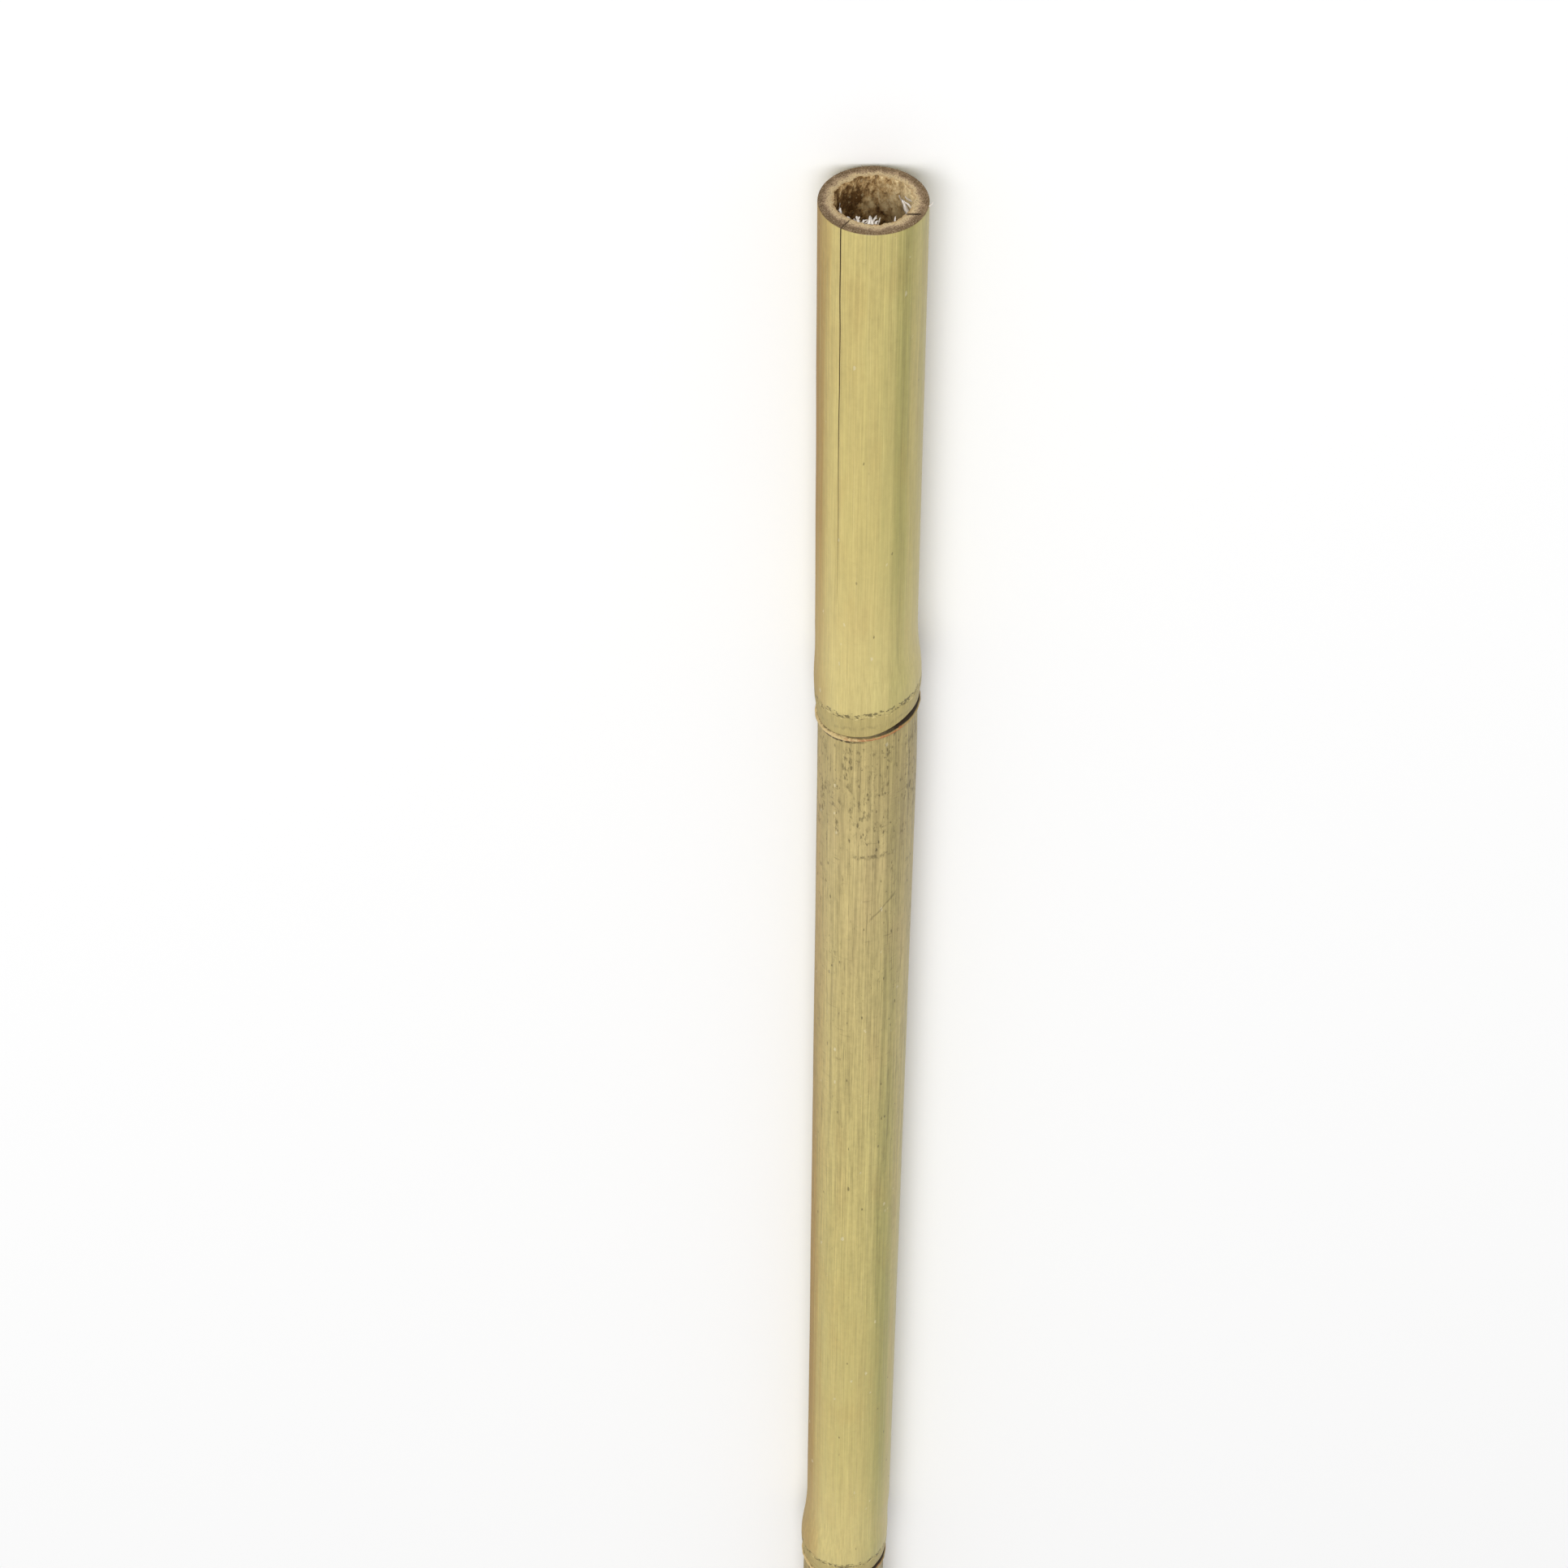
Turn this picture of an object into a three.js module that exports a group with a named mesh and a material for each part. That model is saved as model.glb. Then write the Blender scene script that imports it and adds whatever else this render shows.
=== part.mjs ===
// A cut bamboo cane, lying on its node ridges.
//
// Frame: millimetres, +Z up. The cane lies along X with its upper, thinner end at +X, and the
// origin is on the surface that it rests on, under the middle of its length.
// Places along the cane are measured from the upper cut end, as a distance called `along`.

import * as THREE from 'three';

// Length and girth
const LENGTH = 1200;
const TOP_RADIUS = 11.15;
const BUTT_RADIUS = 11.5;
const SIDES = 28;
const CUT_BEVEL = 0.25;

// Nodes: the scar rings where the leaf sheaths were attached, from the upper end down.
// `lean` is how far the ring slants along the cane for each millimetre across it, towards +Y.
const NODES = [
  { scar: 140, lean: 0.2 },
  { scar: 473, lean: 0 },
  { scar: 803, lean: -0.12 },
  { scar: 1128, lean: 0.08 },
];
const LEAN_REACH = 30;

// The rounded ridge just above each scar is what the cane rests on.
// It runs out slowly towards the upper end and sooner towards the scar.
const RIDGE_ABOVE_SCAR = 8.5;
const RIDGE_RISE = 0.65;
const RIDGE_SPREAD_UP = 7.5;
const RIDGE_SPREAD_DOWN = 4.5;
const RIDGE_FLAT = 1.5;

// The thin lip of the scar, and the slightly drawn-in stretch below it.
const LIP_RISE = 0.4;
const LIP_HALF_WIDTH = 0.5;
const WAIST_DEPTH = 0.1;
const WAIST_LENGTH = 20;

// The two open ends: each bore stops at the diaphragm of the nearest node.
const TOP_BORE_RADIUS = 7.8;
const BUTT_BORE_RADIUS = 7.7;
const DIAPHRAGM_HALF_THICKNESS = 2.5;
const DIAPHRAGM_FILLET = 3;

// Each internode is straight and the next one sets off a little to one side, as bamboo does.
// An entry is a distance along the cane and the sideways shift of its centre there.
const DRIFT = [
  [0, 0], [115, -0.25],
  [133, -0.85], [160, -1], [445, -0.05],
  [464, 0.85], [490, 0.95], [780, -0.15],
  [797, -0.75], [820, -0.85], [1105, 0.05],
  [1122, 0.55], [1145, 0.65], [1200, 0.4],
];

const lerp = THREE.MathUtils.lerp;

function plainRadius(along) {
  return lerp(TOP_RADIUS, BUTT_RADIUS, along / LENGTH);
}

// A bell-shaped swelling of height 1 and the given spread.
function bell(distance, spread) {
  return Math.exp(-((distance / spread) ** 2));
}

function ridgeRise(fromScar) {
  const fromCrest = fromScar + RIDGE_ABOVE_SCAR;
  const fromFlat = Math.max(Math.abs(fromCrest) - RIDGE_FLAT, 0);
  return RIDGE_RISE * bell(fromFlat, fromCrest < 0 ? RIDGE_SPREAD_UP : RIDGE_SPREAD_DOWN);
}

function lipRise(fromScar) {
  return Math.abs(fromScar) <= LIP_HALF_WIDTH ? LIP_RISE : 0;
}

function waistDepth(fromScar) {
  const below = fromScar - LIP_HALF_WIDTH;
  return below > 0 && below < WAIST_LENGTH ? WAIST_DEPTH * (1 - below / WAIST_LENGTH) : 0;
}

function skinRadius(along) {
  let radius = plainRadius(along);
  for (const { scar } of NODES) {
    const fromScar = along - scar;
    radius += ridgeRise(fromScar) + lipRise(fromScar) - waistDepth(fromScar);
  }
  return radius;
}

// The cane lies level on its ridges, so its centre is as high as a ridge is wide.
function centreHeight(along) {
  return plainRadius(along) + RIDGE_RISE;
}

function centreDrift(place) {
  const along = THREE.MathUtils.clamp(place, 0, LENGTH);
  const next = Math.max(DRIFT.findIndex(([at]) => at >= along), 1);
  const [fromAlong, fromShift] = DRIFT[next - 1];
  const [toAlong, toShift] = DRIFT[next];
  return lerp(fromShift, toShift, (along - fromAlong) / (toAlong - fromAlong));
}

// How far each ring of the skin slants: fully at the scar and the ridge, and less further off.
function leanAt(along) {
  let lean = 0;
  for (const node of NODES) {
    const fade = Math.abs(along - node.scar) / LEAN_REACH;
    lean += node.lean * Math.max(1 - fade * fade, 0);
  }
  return lean;
}

// Where the skin's outline needs a point around one scar.
function nodeSteps({ scar }) {
  const crest = -RIDGE_ABOVE_SCAR;
  const lip = LIP_HALF_WIDTH;
  const steps = [];
  for (const bellStep of [-2.2, -1.5, -0.95, -0.5, 0]) {
    steps.push(crest - RIDGE_FLAT + bellStep * RIDGE_SPREAD_UP);
  }
  for (const bellStep of [0, 0.5, 0.95]) {
    steps.push(crest + RIDGE_FLAT + bellStep * RIDGE_SPREAD_DOWN);
  }
  steps.push(-2 * lip, -lip, lip, 2 * lip, lip + WAIST_LENGTH / 2, lip + WAIST_LENGTH);
  return steps.map((step) => scar + step);
}

// Profile points are (radius, height), with the height falling from the upper end to the butt.
function profilePoint(radius, along) {
  return new THREE.Vector2(radius, LENGTH / 2 - along);
}

function skinOutline() {
  const stations = [CUT_BEVEL, ...NODES.flatMap(nodeSteps), LENGTH - CUT_BEVEL];
  return stations.map((along) => profilePoint(skinRadius(along), along));
}

// One open end: from the middle of the diaphragm out to the rim and the bevel's inner edge.
// `into` is 1 where the bore runs down from the upper end, and -1 where it runs up from the butt.
function openEnd(mouth, scar, into, boreRadius) {
  const floor = scar - RIDGE_ABOVE_SCAR / 2 - into * DIAPHRAGM_HALF_THICKNESS;
  return [
    profilePoint(0, floor),
    profilePoint(boreRadius - DIAPHRAGM_FILLET, floor),
    profilePoint(boreRadius - DIAPHRAGM_FILLET * 0.3, floor - into * DIAPHRAGM_FILLET * 0.3),
    profilePoint(boreRadius, floor - into * DIAPHRAGM_FILLET),
    profilePoint(boreRadius, mouth),
    profilePoint(skinRadius(mouth) - CUT_BEVEL, mouth),
  ];
}

function canePoints() {
  const upperEnd = openEnd(0, NODES[0].scar, 1, TOP_BORE_RADIUS);
  const buttEnd = openEnd(LENGTH, NODES[NODES.length - 1].scar, -1, BUTT_BORE_RADIUS);
  return [...upperEnd, ...skinOutline(), ...buttEnd.reverse()].reverse();
}

// The lathe's flats, not its corners, lie on the round outline, and one flat faces down.
function caneGeometry() {
  const toFlats = 1 / Math.cos(Math.PI / SIDES);
  const points = canePoints().map((point) => new THREE.Vector2(point.x * toFlats, point.y));
  const geometry = new THREE.LatheGeometry(points, SIDES, Math.PI / SIDES);
  geometry.rotateZ(-Math.PI / 2);
  const position = geometry.attributes.position;
  for (let i = 0; i < position.count; i += 1) {
    const along = LENGTH / 2 - position.getX(i);
    position.setX(i, position.getX(i) - leanAt(along) * position.getY(i));
    position.setY(i, position.getY(i) + centreDrift(along));
    position.setZ(i, position.getZ(i) + centreHeight(along));
  }
  geometry.computeVertexNormals();
  return geometry;
}

const caneSkin = new THREE.MeshStandardMaterial({
  color: 0xb5ac6f,
  roughness: 0.5,
  metalness: 0,
});

const cane = new THREE.Mesh(caneGeometry(), caneSkin);
cane.name = 'bamboo_cane';

const part = new THREE.Group();
part.add(cane);

export default part;
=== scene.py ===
# A cut bamboo cane, lying on its joint ridges, and the stage that it is shown on.
import math
import random

import bpy
import numpy as np
from bpy.props import FloatProperty, FloatVectorProperty, IntProperty, PointerProperty
from mathutils import Matrix, Vector


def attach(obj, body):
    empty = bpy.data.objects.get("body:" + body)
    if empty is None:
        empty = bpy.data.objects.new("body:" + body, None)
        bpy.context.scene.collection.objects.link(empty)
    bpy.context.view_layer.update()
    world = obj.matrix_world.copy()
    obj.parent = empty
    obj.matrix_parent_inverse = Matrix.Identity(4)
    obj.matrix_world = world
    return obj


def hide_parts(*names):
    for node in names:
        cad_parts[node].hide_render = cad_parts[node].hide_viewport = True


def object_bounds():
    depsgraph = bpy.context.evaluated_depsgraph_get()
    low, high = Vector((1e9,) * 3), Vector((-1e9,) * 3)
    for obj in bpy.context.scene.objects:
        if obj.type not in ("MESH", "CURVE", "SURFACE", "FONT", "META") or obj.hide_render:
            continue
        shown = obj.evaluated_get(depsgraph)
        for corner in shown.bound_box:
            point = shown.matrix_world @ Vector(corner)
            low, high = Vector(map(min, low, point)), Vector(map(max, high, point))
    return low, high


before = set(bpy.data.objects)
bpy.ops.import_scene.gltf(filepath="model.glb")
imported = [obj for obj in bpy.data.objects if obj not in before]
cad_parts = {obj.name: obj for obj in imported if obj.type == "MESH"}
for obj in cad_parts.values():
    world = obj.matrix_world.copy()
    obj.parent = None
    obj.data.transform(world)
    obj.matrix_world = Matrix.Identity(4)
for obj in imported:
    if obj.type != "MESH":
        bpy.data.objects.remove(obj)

bl_info = {
    "name": "Bamboo Cane",
    "version": (1, 0, 0),
    "blender": (4, 5, 0),
    "location": "3D View > Sidebar > Cane",
    "description": "Builds a cut bamboo cane with ridged joints, sawn ends and its stage",
    "category": "Object",
}

CAD_NODE = "bamboo_cane"
BODY = "root"
CAD_LOW, CAD_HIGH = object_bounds()
MM = 0.001

# Lengths below are in millimetres. Places along the cane are measured from the upper cut end.
TOP_RADIUS = 11.15
BUTT_RADIUS = 11.5
TOP_BORE = 7.8
BUTT_BORE = 7.7

# Joints. A scar is the ring where a leaf sheath grew, and its lean is how far it slants along
# the cane for each millimetre towards +Y. A ridge stands just above each scar.
SCARS = (140.0, 473.0, 803.0, 1128.0)
LEANS = (0.2, 0.0, -0.12, 0.08)
LEAN_REACH = 30.0
JOINT_SPACING = 330.0
JOINT_REACH = 60.0
RIDGE_RISE = 0.65
RIDGE_ABOVE_SCAR = 8.5
RIDGE_FLAT = 1.5
RIDGE_SPREAD_UP = 7.5
RIDGE_SPREAD_DOWN = 4.5
WAIST_DEPTH = 0.1
WAIST_LENGTH = 20.0

# The lip of a scar, and the groove above it, which widens towards -Y
LIP_EDGE = 0.5
LIP_HALF, LIP_SOFT = 0.24, 0.34
GROOVE_ABOVE_SCAR = 0.44
GROOVE_HALF, GROOVE_WIDENING, GROOVE_SOFT = 0.12, 0.63, 0.22

# Each length between joints is straight and sets off a little to one side of the last.
DRIFT_AT = (0, 115, 133, 160, 445, 464, 490, 780, 797, 820, 1105, 1122, 1145, 1200)
DRIFT_BY = (0, -0.25, -0.85, -1, -0.05, 0.85, 0.95, -0.15, -0.75, -0.85, 0.05, 0.55, 0.65, 0.4)

# Open ends
DIAPHRAGM_HALF = 2.5
DIAPHRAGM_FILLET = 3.0
RAGGED_DEPTH = 20.0
EDGE_WEAR = 0.38

# How uneven the surface is
LUMPINESS = 0.16
SAW_MARKS = 0.22
RAGGEDNESS = 2.6

# The drying split in the skin, at a turn from straight up towards +Y. Its half width is given
# at the upper end and where the open part stops. Its depth into the sawn face is given at the
# bore and at the skin. Each wave in its line has a run, a start and a reach.
SPLIT_TURN = math.radians(36)
SPLIT_HALF_WIDTH = (0.165, 0.05)
SPLIT_FACE_DEPTH = (0.3, 3.0)
SPLIT_WALL = 0.97
SPLIT_RUN_OUT = 12.0
SPLIT_WAVES = ((7.0, 0.0, 0.10), (2.6, 1.0, 0.035))

# Columns of points near the split, by their distance from it round the skin. Those at its
# edges follow the open split, and the waves in its line fade out at their reach. The radius
# gives a distance its turn, and the gap is the least turn from these columns to a plain one.
SPLIT_EDGE = 0.1
SPLIT_COLUMNS = (-0.9, -0.45, -0.22, -SPLIT_EDGE, 0.0, SPLIT_EDGE, 0.22, 0.45, 0.9)
SPLIT_WAVES_REACH = 1.2
SPLIT_RADIUS = 11.2
COLUMN_GAP = 0.012
COLUMNS = 144

# Rings of points down the skin: how far apart they are within each reach of a scar
RING_GAPS = ((2.4, 0.18), (6.0, 0.5), (14.0, 1.0), (30.0, 2.0), (math.inf, 7.0))
SPLIT_RING_GAP = 3.5
END_RING_GAP, END_GAP_GROWTH = 0.8, 0.4

# Regions of the cane's surface. The diaphragms have the lining's finish.
SKIN, SAWN, LINING, DIAPHRAGM = range(4)

# Rings of points on an open end: on the diaphragm, down the bore and across the sawn face,
# and then the worn edge, whose rings have a depth, a wall number and a region
DIAPHRAGM_RINGS = 8
BORE_RING_GAP, TORN_RING_GAP = 5.0, 0.5
SAWN_RINGS, SAWN_OUTMOST = 14, 0.11
WORN_RINGS = ((0.05, 0.055, SAWN), (0.17, 0.018, SKIN))


def tone(red, green, blue):
    """A display colour of 0 to 255 a channel, as the linear colour that Blender works in."""
    channels = (channel / 255 for channel in (red, green, blue))
    return tuple(c / 12.92 if c <= 0.04045 else ((c + 0.055) / 1.055) ** 2.4 for c in channels)


def opaque(colour):
    return (*colour[:3], 1.0)


# Node trees


def sum_of(operation, turned=False):
    """A method that adds a Math node for a value and any other term. Turned, the value is last."""
    def method(self, *other):
        terms = (*other, self) if turned else (self, *other)
        return self.sheet.math(operation, *terms)
    return method


class Value:
    """A number that varies over a surface. Sums on it add Math nodes to its sheet."""

    def __init__(self, sheet, socket):
        self.sheet = sheet
        self.socket = socket

    def __neg__(self):
        return self * -1.0

    __add__ = __radd__ = sum_of('ADD')
    __sub__, __rsub__ = sum_of('SUBTRACT'), sum_of('SUBTRACT', turned=True)
    __mul__ = __rmul__ = sum_of('MULTIPLY')
    __truediv__, __rtruediv__ = sum_of('DIVIDE'), sum_of('DIVIDE', turned=True)
    __lt__, __gt__ = sum_of('LESS_THAN'), sum_of('GREATER_THAN')
    __abs__ = sum_of('ABSOLUTE')


class Sheet:
    """A node tree that is being filled in."""

    def __init__(self, tree):
        self.tree = tree

    def add(self, kind, settings=None, feeds=None):
        """Adds a node: its settings first, then the values or links of its sockets."""
        node = self.tree.nodes.new(kind)
        for name, setting in (settings or {}).items():
            setattr(node, name, setting)
        for key, feed in (feeds or {}).items():
            source = feed.socket if isinstance(feed, Value) else feed
            if isinstance(source, bpy.types.NodeSocket):
                self.tree.links.new(source, node.inputs[key])
            else:
                node.inputs[key].default_value = source
        return node

    def value(self, kind, settings=None, feeds=None, output=0):
        return Value(self, self.add(kind, settings, feeds).outputs[output])

    def math(self, operation, *terms):
        return self.value('ShaderNodeMath', {'operation': operation}, dict(enumerate(terms)))

    def vector(self, operation, *terms):
        node = self.add('ShaderNodeVectorMath', {'operation': operation}, dict(enumerate(terms)))
        return node.outputs[0]

    def point(self, x=0.0, y=0.0, z=0.0):
        """A place or a turn from its three numbers."""
        return self.add('ShaderNodeCombineXYZ', None, {0: x, 1: y, 2: z}).outputs[0]

    def step(self, value, low, high):
        """0 below low and 1 above high, with a smooth run between. It falls if low is higher."""
        return self.value(
            'ShaderNodeMapRange',
            {'interpolation_type': 'SMOOTHSTEP'},
            {'Value': value, 'From Min': low, 'From Max': high, 'To Min': 0.0, 'To Max': 1.0},
        )

    def band(self, value, centre, half, soft):
        """1 within half of the centre, falling to 0 over the soft edge."""
        return self.step(abs(value - centre), half + soft, half)

    def stretched(self, place, sizes, offset):
        """The place, measured in the sizes along X, Y and Z and moved on by the offset."""
        fractions = tuple(1 / size for size in sizes)
        return self.vector('MULTIPLY_ADD', place, fractions, (offset, offset, offset))

    def noise(self, place, sizes, detail=2.0, roughness=0.5, offset=0.0):
        """Soft noise of 0 to 1, with blotches of the given sizes along X, Y and Z."""
        place = self.stretched(place, sizes, offset)
        feeds = {'Vector': place, 'Scale': 1.0, 'Detail': detail, 'Roughness': roughness}
        return self.value('ShaderNodeTexNoise', None, feeds)

    def spots(self, place, sizes, offset=0.0):
        """The distance from the nearest of many scattered spots, and a chance number for each."""
        place = self.stretched(place, sizes, offset)
        spots = self.add('ShaderNodeTexVoronoi', None, {'Vector': place, 'Scale': 1.0})
        chance = self.add('ShaderNodeSeparateColor', None, {0: spots.outputs['Color']})
        return Value(self, spots.outputs['Distance']), Value(self, chance.outputs[0])

    def mix(self, factor, first, second):
        """A colour that goes from the first to the second with the factor."""
        links = bpy.types.NodeSocket
        first, second = (c if isinstance(c, links) else opaque(c) for c in (first, second))
        settings = {'data_type': 'RGBA', 'clamp_factor': True}
        node = self.add('ShaderNodeMix', settings, {0: factor, 6: first, 7: second})
        return node.outputs[2]


class MaterialSheet(Sheet):
    """The nodes of one finish. Its colour is built up by laying others over the first one."""

    def __init__(self, name, colour=None):
        self.material = bpy.data.materials.new(name)
        self.material.use_nodes = True
        super().__init__(self.material.node_tree)
        self.tree.nodes.clear()
        self.colour = colour
        self.place = self.add('ShaderNodeTexCoord').outputs['Object']
        split = self.add('ShaderNodeSeparateXYZ', None, {0: self.place})
        self.x, self.y, self.z = (Value(self, output) for output in split.outputs)

    def attribute(self, name):
        return self.value('ShaderNodeAttribute', {'attribute_name': name}, output='Fac')

    def grain(self, along, across, detail, roughness, offset):
        """Noise whose blotches are so many millimetres along the cane and across it."""
        sizes = (along * MM, across * MM, across * MM)
        return self.noise(self.place, sizes, detail, roughness, offset)

    def scatter(self, along, across, offset):
        """Spots that are so many millimetres apart along the cane and across it."""
        return self.spots(self.place, (along * MM, across * MM, across * MM), offset)

    def lay(self, factor, colour):
        """Lays a colour over what is there, by the factor."""
        self.colour = self.mix(factor, self.colour, colour)

    def shade(self, strength):
        """Makes the colour lighter or darker."""
        feeds = {0: self.colour, 'Scale': strength}
        self.colour = self.add('ShaderNodeVectorMath', {'operation': 'SCALE'}, feeds).outputs[0]

    def finish(self, roughness, height=None, bump=0.0, specular=0.5):
        """Ends the finish. The bump is how many metres high each 1 of the height stands."""
        feeds = {
            'Base Color': self.colour, 'Roughness': roughness, 'Specular IOR Level': specular,
        }
        if height is not None:
            raised = self.add('ShaderNodeBump', None, {'Distance': bump, 'Height': height})
            feeds['Normal'] = raised.outputs[0]
        shader = self.add('ShaderNodeBsdfPrincipled', None, feeds)
        self.add('ShaderNodeOutputMaterial', None, {'Surface': shader.outputs[0]})
        return self.material


class ShapeSheet(Sheet):
    """A Geometry Nodes tree with named inputs."""

    def __init__(self, name, inputs):
        super().__init__(bpy.data.node_groups.new(name, 'GeometryNodeTree'))
        face = self.tree.interface
        face.new_socket('Geometry', in_out='OUTPUT', socket_type='NodeSocketGeometry')
        face.new_socket('Geometry', in_out='INPUT', socket_type='NodeSocketGeometry')
        self.keys = {}
        for label, kind in inputs.items():
            socket = face.new_socket(label, in_out='INPUT', socket_type='NodeSocket' + kind)
            self.keys[label] = socket.identifier
        self.given = self.add('NodeGroupInput').outputs

    def number(self, label):
        return Value(self, self.given[label])

    def attribute(self, name):
        settings = {'data_type': 'FLOAT'}
        return self.value('GeometryNodeInputNamedAttribute', settings, {'Name': name})

    def chance(self, low, high, salt):
        """A random number for each point, from the seed and the salt."""
        feeds = {2: low, 3: high, 8: self.number('Seed') + salt}
        return self.value('FunctionNodeRandomValue', {'data_type': 'FLOAT'}, feeds, output=1)

    def finish(self, geometry, material_choices):
        """Ends the tree with real meshes and their materials."""
        geometry = self.add('GeometryNodeRealizeInstances', None, {0: geometry}).outputs[0]
        for material, selection in material_choices:
            feeds = {'Geometry': geometry, 'Material': material}
            if selection is not None:
                feeds['Selection'] = selection
            geometry = self.add('GeometryNodeSetMaterial', None, feeds).outputs[0]
        self.add('NodeGroupOutput', None, {0: geometry})

    def make(self, blank, values):
        """Runs the tree on a blank mesh and returns the result as a plain one."""
        rough = bpy.data.objects.new(blank.name + '_blank', blank)
        bpy.context.scene.collection.objects.link(rough)
        modifier = rough.modifiers.new('shape', 'NODES')
        modifier.node_group = self.tree
        for label, value in values.items():
            modifier[self.keys[label]] = value
        depsgraph = bpy.context.evaluated_depsgraph_get()
        evaluated = rough.evaluated_get(depsgraph)
        mesh = bpy.data.meshes.new_from_object(
            evaluated, preserve_all_data_layers=True, depsgraph=depsgraph
        )
        rough.modifiers.remove(modifier)
        bpy.data.objects.remove(rough)
        if not mesh.polygons:
            raise RuntimeError(f"{blank.name} came out empty")
        return mesh


def stand(name, mesh):
    """Links a finished mesh as a piece of the cane."""
    mesh.name = name
    piece = bpy.data.objects.new(name, mesh)
    bpy.context.scene.collection.objects.link(piece)
    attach(piece, BODY)
    return piece


# Finishes

# Where the skin's sides are, and how high its middle is
SIDE_REACH = 11.4
AXIS_HEIGHT = 12.0

# Marks on the skin, in millimetres past a scar: the rows of specks (middle, half, soft edge,
# strength), the scuff, the scratch and its slant, the speckled line, the pale line below it,
# the faint line, the edges of the band, and the painted shadow line below the lip
SPECK_ROWS = ((5.5, 1.2, 3.0, 0.8), (15.0, 3.0, 6.0, 0.6), (28.0, 3.0, 8.0, 0.5))
SCUFF_AT = 38.5
SCRATCH_AT, SCRATCH_SLANT = 62.0, 14.0
SPECKLED_LINE_AT = -7.7
PALE_LINE_AT = -7.0
FAINT_LINE_AT = -3.6
BAND_EDGES = ((-8.8, -6.8), (0.3, -0.2))
LIP_SHADOW_AT = 1.10

# The slit on the sawn face: its height, the middle of its run across, and half of that run
SLIT_HEIGHT, SLIT_ACROSS, SLIT_HALF_RUN = 17.0, -7.9, 1.1


class RindSheet(MaterialSheet):
    """The waxy skin: straw and green streaks, joint bands, specks, painted shade on one edge, at
    the lips and in the split.

    `past` is millimetres past the nearest scar. `grown` goes from 0 just below a scar to 1 at
    the next one. `side` and `top` go from -1 to 1 over the skin's width and height."""

    def __init__(self, colours):
        super().__init__('cane_rind')
        self.colours = colours
        self.joint = self.attribute('joint')
        self.past = (self.joint - self.math('ROUND', self.joint)) * JOINT_SPACING
        self.grown = self.math('FRACT', self.joint)
        self.side = self.y / (SIDE_REACH * MM)
        self.top = (self.z - AXIS_HEIGHT * MM) / (SIDE_REACH * MM)
        self.broad = self.grain(260, 5, 1.0, 0.5, 3.1)
        self.medium = self.grain(70, 1.1, 2.0, 0.5, 7.7)
        self.fine = self.grain(20, 0.30, 3.0, 0.5, 1.3)
        self.cloud = self.grain(24, 7, 3.0, 0.55, 5.9)
        self.mottle = self.grain(2.4, 1.3, 4.0, 0.65, 4.2)
        self.speckle = self.grain(0.7, 1.0, 3.0, 0.6, 3.7)
        self.young = self.step(self.grown, 0.62, 0.04)
        self.newest = self.step(self.grown, 0.12, 0.0)

    def ground(self):
        """Straw on one side, greener on the other, a green stripe, and a tan edge of painted
        shade.
        """
        side, top, step, colours = self.side, self.top, self.step, self.colours
        broad, medium = self.broad - 0.5, self.medium - 0.5
        greenness = 0.36 - side * 0.22 + top * 0.04 + broad + medium * 0.9
        self.colour = self.mix(greenness, colours.straw, colours.green)
        stripe = self.band(side + broad * 0.6 + medium * 0.3, -0.62, 0.04, 0.34)
        self.lay(stripe * step(top, -0.2, 0.2) * 0.55, colours.stripe)
        # Painted shade: a browner tan along the +Y edge, stronger on the upper half.
        shaded_edge = step(side + medium * 0.35 + broad * 0.2, 0.62, 1.0)
        self.lay(shaded_edge * (0.40 + step(top, -0.45, 0.05) * 0.55), colours.tan_and_edge_shade)
        self.lay(step(self.cloud, 0.45, 0.75) * 0.20, colours.tan_and_edge_shade)

    def age(self):
        """Duller just below a scar, paler towards the next one."""
        self.lay(self.young * (0.40 + self.cloud * 0.50), self.colours.dull)
        self.lay(self.newest * 0.45, self.colours.band)
        self.lay(self.step(self.grown, 0.80, 0.95) * 0.25, self.colours.pale)

    def specks(self):
        """Specks and smudges lie in loose rows below each scar and thin out down the length."""
        step, colours, young, mottle = self.step, self.colours, self.young, self.mottle - 0.5
        clusters = self.grain(9, 4, 2.0, 0.5, 9.4)
        rows = sum(self.band(self.past, *row[:3]) * row[3] for row in SPECK_ROWS)
        crowd = (rows + 0.30) * young
        gap, chance = self.scatter(2.6, 0.85, 2.2)
        specks = step(gap + mottle * 0.9, 0.26, 0.10) * (chance < 0.015 + crowd * 0.50)
        smudge = self.grain(2.2, 0.9, 5.0, 0.68, 4.6)
        patches = self.grain(14, 3.5, 2.0, 0.5, 2.6)
        smudged = step(smudge + crowd * 0.09 + (patches - 0.5) * 0.35, 0.60, 0.74)
        smudged = smudged * step(clusters + crowd * 0.10, 0.40, 0.62) * young
        dashes = self.grain(0.8, 4.5, 3.0, 0.6, 8.8)
        dashed = step(dashes, 0.62, 0.72) * step(clusters, 0.46, 0.6) * (0.20 + young)
        lines = step(self.grain(9, 0.34, 2.0, 0.5, 6.2), 0.57, 0.70)
        lines = lines * (0.20 + step(self.grown, 0.75, 0.15))
        self.lay(smudged * 0.60, colours.speck)
        self.lay(dashed * 0.35, colours.speck)
        self.lay(lines * 0.26, colours.speck)
        self.lay(specks * 0.62, colours.speck)
        bright = step(self.grain(60, 0.30, 2.0, 0.5, 2.9), 0.58, 0.70)
        self.lay(bright * 0.20, colours.pale)
        gap, chance = self.scatter(3.0, 1.5, 6.5)
        flecks = step(gap + mottle * 1.4, 0.20, 0.04) * (chance < 0.05)
        self.lay(flecks * 0.45, colours.fleck)
        return specks, smudged

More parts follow.
